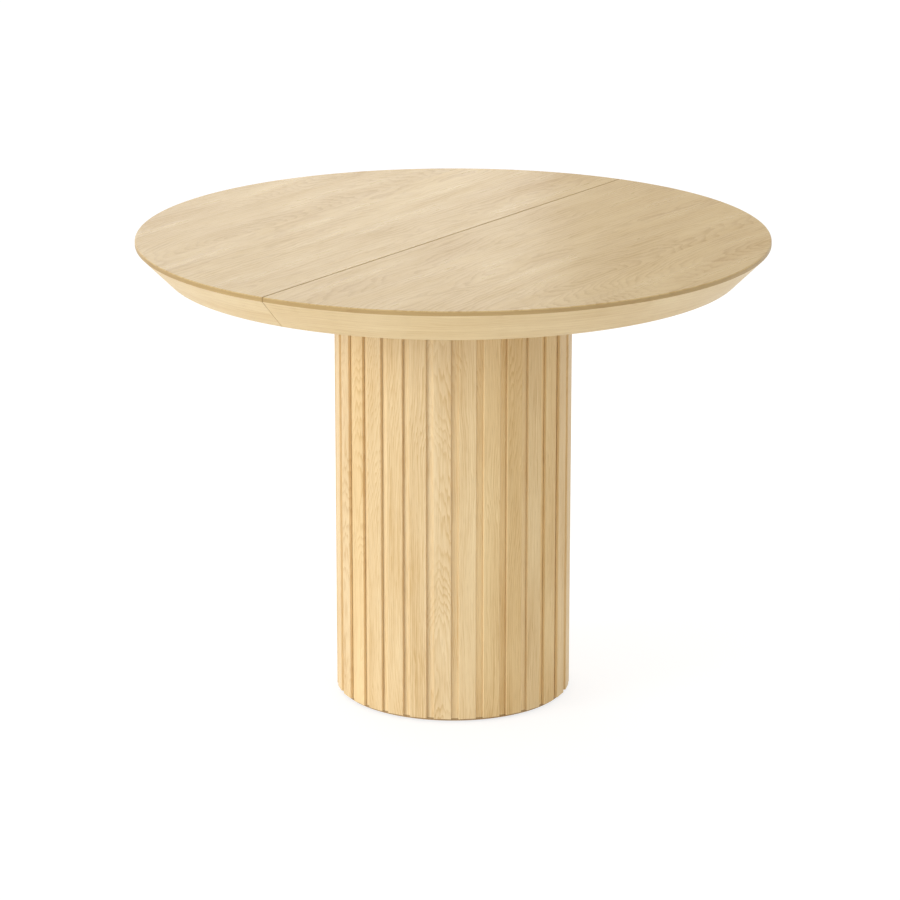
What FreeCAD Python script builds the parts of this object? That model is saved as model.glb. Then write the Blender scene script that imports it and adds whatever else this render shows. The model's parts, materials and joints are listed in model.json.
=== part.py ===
import FreeCAD, Part
import math
import os

os.makedirs("parts", exist_ok=True)

# Table top and its bevelled edge, in mm
top_diameter = 1000.0
table_height = 750.0
panel_thickness = 16.0
rim_height = 7.0
rim_round = 2.0
edge_height = 55.0
bevel_inset = 48.0
apron_wall = 22.0
seam_gap = 1.6
seam_chamfer = 1.0

# Pedestal column
column_diameter = 376.0
slat_count = 30
slat_width = 27.5
slat_thickness = 5.0
slat_round = 1.0
slat_phase_degrees = -1.0
slat_lift = 7.0
core_wall = 12.0
core_gap = 0.3
cap_thickness = 18.0
bottom_plate_thickness = 18.0
ballast_thickness = 10.0
ballast_gap = 8.0

# Feet under the bottom plate
foot_count = 6
foot_height = 3.0
foot_diameter = 34.0
foot_edge_space = 14.0
foot_stem_diameter = 8.0
foot_stem_length = 14.0
foot_stem_gap = 0.1

# Tie rods that clamp the column
rod_count = 4
rod_diameter = 10.0
rod_inset = 46.0
rod_gap = 0.3
rod_nut_width = 17.0
rod_nut_height = 7.5
rod_nut_sink = 8.5
rod_nut_room = 1.5

# Leaf boards and the rack that stores them
leaf_inset = 33.0
leaf_thickness = 16.0
leaf_gap = 0.5
leaf_ease = 5.0
rack_floor = 3.0
rack_web = 4.0
cheek_bite = 12.0
cheek_inset = 13.0
cheek_corner = 20.0
cheek_outside = 18.5

# Dowels in the seam and in the leaf boards
dowel_diameter = 8.0
dowel_sunk = 28.0
dowel_out = 12.0
dowel_socket_gap = 0.08
dowel_glue_gap = 0.05
dowel_end_gap = 1.5
dowel_spread_shares = (0.24, 0.72)
dowel_slot_gap = 1.0

# Slide carrier, its bolts and their inserts
carrier_thickness = 15.0
carrier_margin = 4.0
carrier_corner = 20.0
bolt_diameter = 8.0
bolt_gap = 0.2
bolt_head_width = 13.0
bolt_head_height = 5.3
bolt_head_sink = 6.0
bolt_head_room = 2.0
bolt_spread = 50.0
insert_diameter = 12.0
insert_length = 14.0
insert_gap = 0.05

# Slide rails with two tracks each
rail_overhang = 3.0
rail_width = 52.0
rail_height = 20.0
track_pitch = 25.0
track_width = 19.0
track_floor = 4.0
track_height = 9.0
track_mouth = 9.0
rail_screw_share = 0.76
rail_flange_space = 4.0

# Slide bars and glide pads
bar_reach_share = 0.29
bar_foot_width = 17.0
bar_foot_height = 6.0
bar_neck_width = 8.0
bar_flange_width = 24.0
bar_flange_thickness = 4.0
bar_seam_space = 4.0
bar_screw_offset = 8.0
bar_screw_shares = (0.22, 0.55, 0.9)
pad_length = 35.0
pad_gap = 0.3
pad_start = 5.0

# Rack and pinion that tie the halves together
gear_module = 2.5
pinion_teeth = 24
pressure_angle_degrees = 20.0
gear_thickness = 8.0
flank_gap = 0.15
root_share = 1.25
rack_back = 7.0
rack_lift = 3.0
rack_first_tooth = -3
rack_end_margin = 2.2
rack_lug_length = 8.0
rack_lug_width = 10.0
rack_tail_reach_share = 0.24
rack_tail_length = 120.0
rack_tail_width = 27.0
bracket_inset = 5.0
bracket_screw_shares = (0.17, 0.83)
axle_diameter = 12.0
axle_gap = 0.05
axle_seat_gap = 0.1
axle_flange_diameter = 32.0
axle_flange_thickness = 3.0
spacer_diameter = 24.0
gear_face_gap = 0.3
clip_diameter = 19.0
clip_thickness = 1.5
clip_groove_depth = 0.8
clip_gap = 0.1
axle_end = 1.5
guide_length = 40.0
guide_depth = 16.0
guide_lip = 4.0
guide_cover = 6.0
guide_gap = 0.3
guide_screw_share = 0.6
guide_screw_inset = 6.0

# Screws
screw_diameter = 4.0
screw_gap = 0.1
screw_head_diameter = 6.8
screw_head_height = 2.2
screw_bite = 11.0
screw_tip_gap = 0.5
sunk_head_height = 1.5

# Latches under the seam
latch_edge_space = 25.0
latch_rail_space = 17.0
latch_pivot_inset = 30.0
latch_arm = 60.0
latch_tip = 12.0
latch_width = 28.0
latch_boss_diameter = 28.0
latch_thickness = 4.0
latch_plate_thickness = 3.0
latch_plate_length = 56.0
latch_plate_width = 44.0
latch_plate_inset = 6.0
latch_gap = 0.5
latch_pin_diameter = 8.0
latch_pin_gap = 0.08
latch_pin_seat_gap = 0.05
latch_slot_gap = 1.0
latch_slot_over = 5.0
latch_head_diameter = 14.0
latch_head_height = 3.0
latch_tab_thickness = 3.0
latch_tab_height = 10.0
latch_screw_inset = 7.0
keeper_length = 44.0
keeper_pin_drop = 6.0

# Glue blocks between panel and edge ring
block_count = 5
block_step_degrees = 32.0
block_sweep_degrees = 6.0
block_height = 20.0
block_depth = 30.0
block_gap = 0.3

# Heights worked out from the values above
top_radius = top_diameter / 2
panel_low = table_height - panel_thickness
apron_low = table_height - edge_height
apron_low_radius = top_radius - bevel_inset
apron_low_bore = apron_low_radius - apron_wall
bevel_run_share = (top_radius - apron_low_radius) / (edge_height - rim_height)
panel_low_radius = top_radius - (panel_thickness - rim_height) * bevel_run_share
rail_top = panel_low - bar_flange_thickness - rail_flange_space
rail_low = rail_top - rail_height
carrier_low = rail_low - carrier_thickness
shelf_height = leaf_thickness + 2 * leaf_gap
cap_top = carrier_low - rack_floor - rack_web - 2 * shelf_height
core_top = cap_top - cap_thickness
lower_shelf = cap_top + rack_floor
upper_shelf = lower_shelf + shelf_height + rack_web

# Radii of the column
slat_face = column_diameter / 2
core_radius = slat_face - slat_thickness
core_bore = core_radius - core_wall
plate_radius = core_bore - core_gap
plate_top = foot_height + bottom_plate_thickness
foot_ring_diameter = 2 * (core_bore - foot_edge_space) - foot_diameter
rod_ring_diameter = 2 * (core_bore - rod_inset)

# Leaf rack across the slide direction
leaf_length = top_radius
leaf_half = core_radius - leaf_inset
leaf_width = 2 * leaf_half
cheek_length = column_diameter - 2 * cheek_inset
groove_side = leaf_half + leaf_gap
dowel_slot_side = groove_side + dowel_out + dowel_slot_gap
cheek_inside = leaf_half - cheek_bite
cheek_side = dowel_slot_side + cheek_outside
bolt_x = (dowel_slot_side + cheek_side) / 2
bolt_y = bolt_spread / 2
bolt_seat = rail_low - bolt_head_sink

# Slides along X and where they lie between the latches
latch_offset = apron_low_bore - latch_edge_space
rail_edge = latch_offset - latch_arm - latch_tip - latch_rail_space
rail_spread = 2 * rail_edge - rail_width
carrier_length = 2 * (rail_edge + carrier_margin)
bar_reach = bar_reach_share * top_diameter
rack_tail_reach = rack_tail_reach_share * top_diameter
slide_travel = leaf_half + leaf_ease
seam_side = seam_gap / 2
track_low = rail_low + track_floor
track_high = track_low + track_height
pad_thickness = (track_height - bar_foot_height) / 2 - pad_gap
bar_foot_low = track_low + pad_gap + pad_thickness
bar_foot_high = bar_foot_low + bar_foot_height
bar_flange_low = panel_low - bar_flange_thickness
inner_track = rail_spread / 2 - track_pitch / 2
outer_track = rail_spread / 2 + track_pitch / 2
rail_half = cheek_side + rail_overhang

# Gear sizes
pitch_radius = gear_module * pinion_teeth / 2
gear_pitch = math.pi * gear_module
tip_radius = pitch_radius + gear_module
root_radius = pitch_radius - root_share * gear_module
pressure_angle = math.radians(pressure_angle_degrees)
base_radius = pitch_radius * math.cos(pressure_angle)
gear_low = rail_low + rack_lift
gear_high = gear_low + gear_thickness
rack_root = pitch_radius + root_share * gear_module
rack_rear = rack_root + rack_back
axle_radius = axle_diameter / 2

# Screw and dowel radii
screw_radius = screw_diameter / 2
screw_head_radius = screw_head_diameter / 2
dowel_radius = dowel_diameter / 2
dowel_z = panel_low + panel_thickness / 2
dowel_places = [side * share * top_radius for side in (-1, 1) for share in dowel_spread_shares]

# Latch heights
latch_plate_low = panel_low - latch_plate_thickness
latch_high = latch_plate_low - latch_gap
latch_low = latch_high - latch_thickness
latch_pin_radius = latch_pin_diameter / 2


def vec(x, y, z):
    return FreeCAD.Vector(x, y, z)


def box(x0, x1, y0, y1, z0, z1):
    return Part.makeBox(x1 - x0, y1 - y0, z1 - z0, vec(x0, y0, z0))


def rod(radius, z0, z1, x=0, y=0):
    return Part.makeCylinder(radius, z1 - z0, vec(x, y, z0))


def tube(outer, inner, z0, z1, x=0, y=0):
    return rod(outer, z0, z1, x, y).cut(rod(inner, z0, z1, x, y))


def rod_along_x(radius, x0, x1, y, z):
    return Part.makeCylinder(radius, x1 - x0, vec(x0, y, z), vec(1, 0, 0))


def prism(points, z0, z1):
    corners = [vec(x, y, z0) for x, y in points]
    face = Part.Face(Part.makePolygon(corners + corners[:1]))
    return face.extrude(vec(0, 0, z1 - z0))


def turned(points, start_degrees=0, sweep_degrees=360):
    corners = [vec(r, 0, z) for r, z in points]
    face = Part.Face(Part.makePolygon(corners + corners[:1]))
    solid = face.revolve(vec(0, 0, 0), vec(0, 0, 1), sweep_degrees)
    return spun(solid, start_degrees)


def spun(shape, degrees, x=0, y=0):
    copy = shape.copy()
    copy.rotate(vec(x, y, 0), vec(0, 0, 1), degrees)
    return copy


def moved(shape, x, y, z):
    copy = shape.copy()
    copy.translate(vec(x, y, z))
    return copy


def to_right(shape):
    return spun(shape, 180)


def group(shapes):
    return Part.makeCompound(shapes)


def hexagon(width, z0, z1, x, y):
    corner = width / 2 / math.cos(math.pi / 6)
    turns = [math.pi / 3 * k for k in range(6)]
    return prism([(x + corner * math.cos(t), y + corner * math.sin(t)) for t in turns], z0, z1)


def ring_places(count, diameter, start_degrees=0):
    turns = [math.radians(start_degrees) + 2 * math.pi * k / count for k in range(count)]
    return [(diameter / 2 * math.cos(t), diameter / 2 * math.sin(t)) for t in turns]


def round_corners(solid, radius, low, high):
    upright = [e for e in solid.Edges if e.BoundBox.ZLength > (high - low) / 2]
    return solid.makeFillet(radius, upright)


def save(name, shape):
    shape.exportStep("parts/" + name + ".step")


# Screws: the head below or above its seat, and the hole each one needs
def screw_up(x, y, seat, length):
    head = rod(screw_head_radius, seat - screw_head_height, seat, x, y)
    return head.fuse(rod(screw_radius, seat, seat + length, x, y))


def screw_up_hole(x, y, seat, length):
    return rod(screw_radius + screw_gap, seat, seat + length + screw_tip_gap, x, y)


def screw_down(x, y, seat, length):
    head = rod(screw_head_radius, seat, seat + screw_head_height, x, y)
    return head.fuse(rod(screw_radius, seat - length, seat, x, y))


def screw_down_hole(x, y, seat, length):
    return rod(screw_radius + screw_gap, seat - length - screw_tip_gap, seat, x, y)


def sunk_screw(x, y, face, length, way, spare=0):
    wide = screw_head_radius + spare
    thin = screw_radius + spare
    tip = length + (screw_tip_gap if spare else 0)
    head = Part.makeCone(wide, thin, sunk_head_height, vec(x, y, face), vec(0, 0, way))
    shank = Part.makeCylinder(thin, tip, vec(x, y, face), vec(0, 0, way))
    return head.fuse(shank)


# Column
foot_places = ring_places(foot_count, foot_ring_diameter)
rod_places = ring_places(rod_count, rod_ring_diameter, 45)
bolt_places = [(sx * bolt_x, sy * bolt_y) for sx in (-1, 1) for sy in (-1, 1)]


def make_foot(x, y):
    pad = rod(foot_diameter / 2, 0, foot_height, x, y)
    stem = rod(foot_stem_diameter / 2, foot_height, foot_height + foot_stem_length, x, y)
    return pad.fuse(stem)


def make_bottom_plate():
    plate = rod(plate_radius, foot_height, plate_top)
    stem_top = foot_height + foot_stem_length + foot_stem_gap
    for x, y in foot_places:
        plate = plate.cut(rod(foot_stem_diameter / 2 + foot_stem_gap, foot_height, stem_top, x, y))
    nut_room = rod_nut_width / 2 / math.cos(math.pi / 6) + rod_nut_room
    for x, y in rod_places:
        plate = plate.cut(rod(rod_diameter / 2 + rod_gap, foot_height, plate_top, x, y))
        plate = plate.cut(rod(nut_room, foot_height, foot_height + rod_nut_sink, x, y))
    return plate


def make_ballast():
    plate = rod(plate_radius - ballast_gap, plate_top, plate_top + ballast_thickness)
    for x, y in rod_places:
        plate = plate.cut(rod(rod_diameter / 2 + rod_gap, plate_top, plate_top + ballast_thickness, x, y))
    return plate


def make_slat():
    half = slat_width / 2
    slat = box(core_radius, slat_face, -half, half, slat_lift, cap_top)
    front = [e for e in slat.Edges if e.BoundBox.XMin > core_radius and e.BoundBox.ZLength > slat_width]
    return slat.makeFillet(slat_round, front)


def make_cap():
    cap = rod(core_radius - core_gap, core_top, cap_top)
    nut_room = rod_nut_width / 2 / math.cos(math.pi / 6) + rod_nut_room
    for x, y in rod_places:
        cap = cap.cut(rod(rod_diameter / 2 + rod_gap, core_top, cap_top, x, y))
        cap = cap.cut(rod(nut_room, cap_top - rod_nut_sink, cap_top, x, y))
    for x, y in bolt_places:
        cap = cap.cut(rod(insert_diameter / 2 + insert_gap, cap_top - insert_length, cap_top, x, y))
    return cap


def make_rod_nut(x, y, low):
    nut = hexagon(rod_nut_width, low, low + rod_nut_height, x, y)
    return nut.cut(rod(rod_diameter / 2 + insert_gap, low, low + rod_nut_height, x, y))


rod_low = foot_height + rod_nut_sink - rod_nut_height
rod_high = cap_top - rod_nut_sink + rod_nut_height
slat = make_slat()
slat_turns = [slat_phase_degrees + 360 / slat_count * k for k in range(slat_count)]
save("floor_feet", group([make_foot(x, y) for x, y in foot_places]))
save("bottom_plate", make_bottom_plate())
save("ballast_plate", make_ballast())
save("column_core", tube(core_radius, core_bore, foot_height, core_top))
save("column_slats", group([spun(slat, turn) for turn in slat_turns]))
save("column_cap", make_cap())
save("tie_rods", group([rod(rod_diameter / 2, rod_low, rod_high, x, y) for x, y in rod_places]))
low_nuts = [make_rod_nut(x, y, rod_low) for x, y in rod_places]
high_nuts = [make_rod_nut(x, y, cap_top - rod_nut_sink) for x, y in rod_places]
save("tie_rod_nuts", group(low_nuts + high_nuts))


# Leaf rack and leaf boards
def make_cheek():
    half = cheek_length / 2
    cheek = box(cheek_inside, cheek_side, -half, half, cap_top, carrier_low)
    corners = [e for e in cheek.Edges if e.BoundBox.XMin > groove_side and e.BoundBox.ZLength > shelf_height]
    cheek = cheek.makeFillet(cheek_corner, corners)
    for shelf in (lower_shelf, upper_shelf):
        middle = shelf + shelf_height / 2
        slot = dowel_radius + dowel_slot_gap
        cheek = cheek.cut(box(cheek_inside, groove_side, -half, half, shelf, shelf + shelf_height))
        cheek = cheek.cut(box(groove_side, dowel_slot_side, -half, half, middle - slot, middle + slot))
    for y in (-bolt_y, bolt_y):
        cheek = cheek.cut(rod(bolt_diameter / 2 + bolt_gap, cap_top, carrier_low, bolt_x, y))
    return cheek


def leaf_dowel_places(way):
    places = [share * top_radius for share in dowel_spread_shares]
    return [way * (place - leaf_length / 2) for place in places]


def make_leaf(way, shelf):
    low = shelf + leaf_gap
    high = low + leaf_thickness
    end = leaf_length / 2
    bevel = (leaf_thickness - rim_height) * bevel_run_share
    side = [(-end, low), (end - bevel, low), (end, high - rim_height), (end, high), (-end, high)]
    corners = [vec(-leaf_half, way * y, z) for y, z in side]
    face = Part.Face(Part.makePolygon(corners + corners[:1]))
    board = face.extrude(vec(leaf_width, 0, 0))
    middle = low + leaf_thickness / 2
    socket = dowel_out + dowel_end_gap
    for y in leaf_dowel_places(way):
        tight = rod_along_x(dowel_radius + dowel_glue_gap, leaf_half - dowel_sunk, leaf_half, y, middle)
        loose = rod_along_x(dowel_radius + dowel_socket_gap, -leaf_half, socket - leaf_half, y, middle)
        board = board.cut(tight).cut(loose)
    return board


def make_leaf_dowels(way, shelf):
    middle = shelf + leaf_gap + leaf_thickness / 2
    low = leaf_half - dowel_sunk
    high = leaf_half + dowel_out
    return group([rod_along_x(dowel_radius, low, high, y, middle) for y in leaf_dowel_places(way)])


cheek = make_cheek()
save("leaf_rack_right", cheek)
save("leaf_rack_left", to_right(cheek))
save("leaf_board_front", make_leaf(-1, lower_shelf))
save("leaf_dowels_front", make_leaf_dowels(-1, lower_shelf))
save("leaf_board_back", make_leaf(1, upper_shelf))
save("leaf_dowels_back", make_leaf_dowels(1, upper_shelf))

# Places of the screws that go down into the carrier
rail_screw_places = []
for track in (-outer_track, -inner_track, inner_track, outer_track):
    for side in (-1, 1):
        rail_screw_places.append((side * rail_screw_share * rail_half, track))
rail_screw_length = track_floor + carrier_thickness - rack_floor
guide_front_face = rack_rear - guide_cover
guide_rear_face = rack_rear + guide_gap + guide_depth
guide_top = gear_high + guide_gap + guide_lip
guide_screw_y = guide_rear_face - guide_screw_inset
guide_screw_x = guide_screw_share * guide_length / 2
guide_screw_length = guide_top - rail_low + screw_bite
guide_screw_places = [(side * guide_screw_x, way * guide_screw_y) for way in (1, -1) for side in (-1, 1)]


# Slide carrier and the fixed slide parts
def make_carrier():
    half = carrier_length / 2
    plate = box(-cheek_side, cheek_side, -half, half, carrier_low, rail_low)
    plate = round_corners(plate, carrier_corner, carrier_low, rail_low)
    head_room = bolt_head_width / 2 / math.cos(math.pi / 6) + bolt_head_room
    for x, y in bolt_places:
        plate = plate.cut(rod(bolt_diameter / 2 + bolt_gap, carrier_low, rail_low, x, y))
        plate = plate.cut(rod(head_room, bolt_seat, rail_low, x, y))
    for x, y in rail_screw_places:
        plate = plate.cut(screw_down_hole(x, y, track_low, rail_screw_length))
    for x, y in guide_screw_places:
        plate = plate.cut(screw_down_hole(x, y, guide_top, guide_screw_length))
    flange_room = axle_flange_diameter / 2 + axle_seat_gap
    plate = plate.cut(rod(axle_radius + axle_seat_gap, carrier_low, rail_low))
    return plate.cut(rod(flange_room, carrier_low, carrier_low + axle_flange_thickness))


def make_bolt(x, y):
    head = hexagon(bolt_head_width, bolt_seat, bolt_seat + bolt_head_height, x, y)
    return head.fuse(rod(bolt_diameter / 2, cap_top - insert_length, bolt_seat, x, y))


def make_insert(x, y):
    bore = bolt_diameter / 2 + insert_gap
    return tube(insert_diameter / 2, bore, cap_top - insert_length, cap_top, x, y)


def make_rail(way):
    middle = way * rail_spread / 2
    half = rail_width / 2
    rail = box(-rail_half, rail_half, middle - half, middle + half, rail_low, rail_top)
    for track in (way * inner_track, way * outer_track):
        wide = track_width / 2
        slim = track_mouth / 2
        rail = rail.cut(box(-rail_half, rail_half, track - wide, track + wide, track_low, track_high))
        rail = rail.cut(box(-rail_half, rail_half, track - slim, track + slim, track_high, rail_top))
    for x, y in rail_screw_places:
        if y * way > 0:
            rail = rail.cut(sunk_screw(x, y, track_low, rail_screw_length, -1, screw_gap))
    return rail


def make_guide():
    half = guide_length / 2
    block = box(-half, half, guide_front_face, guide_rear_face, rail_low, guide_top)
    slot_rear = rack_rear + guide_gap
    slot = box(-half, half, guide_front_face, slot_rear, gear_low - guide_gap, gear_high + guide_gap)
    block = block.cut(slot)
    for x in (-guide_screw_x, guide_screw_x):
        block = block.cut(screw_down_hole(x, guide_screw_y, guide_top, guide_screw_length))
    return block


rail_screws = [sunk_screw(x, y, track_low, rail_screw_length, -1) for x, y in rail_screw_places]
guide_screws = [screw_down(x, y, guide_top, guide_screw_length) for x, y in guide_screw_places]
guide = make_guide()
save("slide_carrier", make_carrier())
save("carrier_bolts", group([make_bolt(x, y) for x, y in bolt_places]))
save("cap_inserts", group([make_insert(x, y) for x, y in bolt_places]))
save("slide_rail_front", make_rail(-1))
save("slide_rail_back", make_rail(1))
save("rail_screws", group(rail_screws))
save("rack_guide_back", guide)
save("rack_guide_front", to_right(guide))
save("guide_screws", group(guide_screws))


# Pinion on its axle
def flank_turn(radius):
    half = math.pi / 2 / pinion_teeth - flank_gap / pitch_radius
    reach = max(radius, base_radius)
    angle = math.acos(base_radius / reach)
    return half + math.tan(pressure_angle) - pressure_angle - (math.tan(angle) - angle)


def gear_point(radius, turn):
    return vec(radius * math.cos(turn), radius * math.sin(turn), gear_low)


def make_pinion():
    steps = 4
    radii = [base_radius + (tip_radius - base_radius) * k / steps for k in range(steps + 1)]
    step_turn = 2 * math.pi / pinion_teeth
    edges = []
    for tooth in range(pinion_teeth):
        middle = math.pi / 2 + step_turn * (tooth + 1 / 2)
        rising = [gear_point(r, middle - flank_turn(r)) for r in radii]
        falling = [gear_point(r, middle + flank_turn(r)) for r in reversed(radii)]
        first = gear_point(root_radius, middle - flank_turn(root_radius))
        last = gear_point(root_radius, middle + flank_turn(root_radius))
        after = gear_point(root_radius, middle + step_turn - flank_turn(root_radius))
        up = Part.BSplineCurve()
        up.interpolate(rising)
        down = Part.BSplineCurve()
        down.interpolate(falling)
        edges.append(Part.makeLine(first, rising[0]))
        edges.append(up.toShape())
        edges.append(Part.Arc(rising[-1], gear_point(tip_radius, middle), falling[0]).toShape())
        edges.append(down.toShape())
        edges.append(Part.makeLine(falling[-1], last))
        valley = gear_point(root_radius, middle + step_turn / 2)
        edges.append(Part.Arc(last, valley, after).toShape())
    blank = Part.Face(Part.Wire(edges)).extrude(vec(0, 0, gear_thickness))
    return blank.cut(rod(axle_radius + axle_gap, gear_low, gear_high))


clip_low = gear_high + gear_face_gap
clip_high = clip_low + clip_thickness
axle_groove = axle_radius - clip_groove_depth


def make_axle():
    flange = rod(axle_flange_diameter / 2, carrier_low, carrier_low + axle_flange_thickness)
    shaft = rod(axle_radius, carrier_low + axle_flange_thickness, clip_high + axle_end)
    groove = tube(axle_diameter, axle_groove, clip_low, clip_high)
    return flange.fuse(shaft).cut(groove)


save("sync_pinion", make_pinion())
save("pinion_axle", make_axle())
spacer_bore = axle_radius + axle_seat_gap
save("pinion_spacer", tube(spacer_diameter / 2, spacer_bore, rail_low, gear_low - gear_face_gap))
save("pinion_clip", tube(clip_diameter / 2, axle_groove + clip_gap, clip_low, clip_high))


# Left rack: a toothed bar, a stop lug at its far end and a broad tail for its bracket
def make_rack():
    lean = math.tan(pressure_angle)
    half = gear_pitch / 4 - flank_gap
    tip_half = half - gear_module * lean
    root_half = half + root_share * gear_module * lean
    tip_y = pitch_radius - gear_module
    last_tooth = math.ceil(slide_travel / gear_pitch) - rack_first_tooth
    points = [(-rack_tail_reach, rack_root)]
    for tooth in range(rack_first_tooth, last_tooth + 1):
        x = tooth * gear_pitch
        points += [(x - root_half, rack_root), (x - tip_half, tip_y)]
        points += [(x + tip_half, tip_y), (x + root_half, rack_root)]
    end = last_tooth * gear_pitch + root_half + rack_end_margin
    lug = rack_rear + rack_lug_width
    tail_end = rack_tail_length - rack_tail_reach
    tail_rear = rack_root + rack_tail_width
    points += [(end, rack_root), (end, lug), (end - rack_lug_length, lug), (end - rack_lug_length, rack_rear)]
    points += [(tail_end, rack_rear), (tail_end, tail_rear), (-rack_tail_reach, tail_rear)]
    return prism(points, gear_low, gear_high)


bracket_screw_y = rack_root + rack_tail_width / 2
bracket_screw_places = []
for share in bracket_screw_shares:
    bracket_screw_places.append((share * rack_tail_length - rack_tail_reach, bracket_screw_y))
bracket_screw_length = panel_low - gear_low + screw_bite
bar_screw_places = []
for track in (-inner_track, outer_track):
    for share in bar_screw_shares:
        for side in (-1, 1):
            bar_screw_places.append((-share * bar_reach, track + side * bar_screw_offset))
bar_screw_length = bar_flange_thickness + screw_bite


def with_bracket_holes(shape):
    for x, y in bracket_screw_places:
        shape = shape.cut(screw_up_hole(x, y, gear_low, bracket_screw_length))
    return shape


def make_bracket():
    low_x = bracket_inset - rack_tail_reach
    high_x = rack_tail_length - rack_tail_reach - bracket_inset
    return with_bracket_holes(box(low_x, high_x, rack_root, rack_root + rack_tail_width, gear_high, panel_low))


# Left slide bar in the track at y, with its foot in the track and its flange under the panel
def make_bar(y):
    foot = bar_foot_width / 2
    neck = bar_neck_width / 2
    flange = bar_flange_width / 2
    near = -bar_seam_space
    bar = box(-bar_reach, rail_half, y - foot, y + foot, bar_foot_low, bar_foot_high)
    bar = bar.fuse(box(-bar_reach, near, y - neck, y + neck, bar_foot_high, bar_flange_low))
    bar = bar.fuse(box(-bar_reach, near, y - flange, y + flange, bar_flange_low, panel_low))
    for sx, sy in bar_screw_places:
        if abs(sy - y) < track_pitch / 2:
            bar = bar.cut(screw_up_hole(sx, sy, bar_flange_low, bar_screw_length))
    return bar.removeSplitter()


def make_pads(y):
    half = track_width / 2 - pad_gap
    pads = []
    for start in (pad_start, rail_half - pad_length):
        for low in (bar_foot_low - pad_thickness, bar_foot_high):
            pads.append(box(start, start + pad_length, y - half, y + half, low, low + pad_thickness))
    return pads


left_tracks = (-inner_track, outer_track)
bar_front = make_bar(left_tracks[0])
bar_back = make_bar(left_tracks[1])
pads = group(make_pads(left_tracks[0]) + make_pads(left_tracks[1]))
bar_screws = group([screw_up(x, y, bar_flange_low, bar_screw_length) for x, y in bar_screw_places])
rack = with_bracket_holes(make_rack())
bracket = make_bracket()
rack_screws = group([screw_up(x, y, gear_low, bracket_screw_length) for x, y in bracket_screw_places])
save("left_slide_bar_front", bar_front)
save("left_slide_bar_back", bar_back)
save("right_slide_bar_front", to_right(bar_back))
save("right_slide_bar_back", to_right(bar_front))
for side, place in (("left", 0), ("right", 180)):
    save(side + "_slide_pads", spun(pads, place))
    save(side + "_bar_screws", spun(bar_screws, place))
    save(side + "_rack", spun(rack, place))
    save(side + "_rack_bracket", spun(bracket, place))
    save(side + "_rack_screws", spun(rack_screws, place))


# Top panel and edge ring, cut at the seam
def left_half(shape):
    return shape.common(box(-top_diameter, -seam_side, -top_diameter, top_diameter, 0, 2 * table_height))


def make_panel():
    disc = turned([(0, panel_low), (panel_low_radius, panel_low), (top_radius, table_height - rim_height),
                   (top_radius, table_height), (0, table_height)])
    rim = [e for e in disc.Edges if e.BoundBox.ZMin > table_height - rim_round
           and e.BoundBox.XMax > top_radius - rim_round and e.BoundBox.YLength > top_radius]
    panel = left_half(disc.makeFillet(rim_round, rim))
    edge = [(-seam_side, table_height - seam_chamfer), (-seam_side, table_height),
            (-seam_side - seam_chamfer, table_height)]
    corners = [vec(x, -top_diameter, z) for x, z in edge]
    face = Part.Face(Part.makePolygon(corners + corners[:1]))
    panel = panel.cut(face.extrude(vec(0, 2 * top_diameter, 0)))
    for x, y in bar_screw_places:
        panel = panel.cut(screw_up_hole(x, y, bar_flange_low, bar_screw_length))
    return with_bracket_holes(panel)


def make_apron():
    low = apron_low_radius
    high = panel_low_radius
    ring = turned([(low - apron_wall, apron_low), (low, apron_low), (high, panel_low),
                   (high - apron_wall, panel_low)])
    return left_half(ring)


def make_blocks():
    outer_high = panel_low_radius - apron_wall - block_gap
    outer_low = outer_high - block_height * bevel_run_share
    inner = outer_high - block_depth
    low = panel_low - block_height
    section = [(inner, low), (outer_low, low), (outer_high, panel_low), (inner, panel_low)]
    first = 180 - block_step_degrees * (block_count - 1) / 2 - block_sweep_degrees / 2
    turns = [first + block_step_degrees * k for k in range(block_count)]
    return group([turned(section, turn, block_sweep_degrees) for turn in turns])


# Latch plates on the left half, keepers on the right half
plate_far = -latch_plate_inset - latch_plate_length
keeper_x = latch_arm - latch_pivot_inset


def plate_screw_places(low_x, high_x, way):
    spread = latch_plate_width / 2 - latch_screw_inset
    ends = (low_x + latch_screw_inset, high_x - latch_screw_inset)
    return [(x, way * latch_offset + side * spread) for x in ends for side in (-1, 1)]


def make_plate(low_x, high_x, way):
    half = latch_plate_width / 2
    middle = way * latch_offset
    plate = box(low_x, high_x, middle - half, middle + half, latch_plate_low, panel_low)
    for x, y in plate_screw_places(low_x, high_x, way):
        plate = plate.cut(sunk_screw(x, y, latch_plate_low, screw_bite, 1, screw_gap))
    return plate


def make_latch_plate(way):
    plate = make_plate(plate_far, -latch_plate_inset, way)
    hole = latch_pin_radius + latch_pin_seat_gap
    return plate.cut(rod(hole, latch_plate_low, panel_low, -latch_pivot_inset, way * latch_offset))


def make_pivot(way):
    middle = way * latch_offset
    head_high = latch_low - latch_gap
    head = rod(latch_head_diameter / 2, head_high - latch_head_height, head_high, -latch_pivot_inset, middle)
    return head.fuse(rod(latch_pin_radius, head_high, panel_low, -latch_pivot_inset, middle))


def make_keeper(way):
    half = keeper_length / 2
    middle = way * latch_offset
    plate = make_plate(keeper_x - half, keeper_x + half, way)
    plate = plate.cut(rod(latch_pin_radius + latch_pin_seat_gap, latch_plate_low, panel_low, keeper_x, middle))
    pin = rod(latch_pin_radius, latch_plate_low - keeper_pin_drop, panel_low, keeper_x, middle)
    return group([plate, pin])


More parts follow.
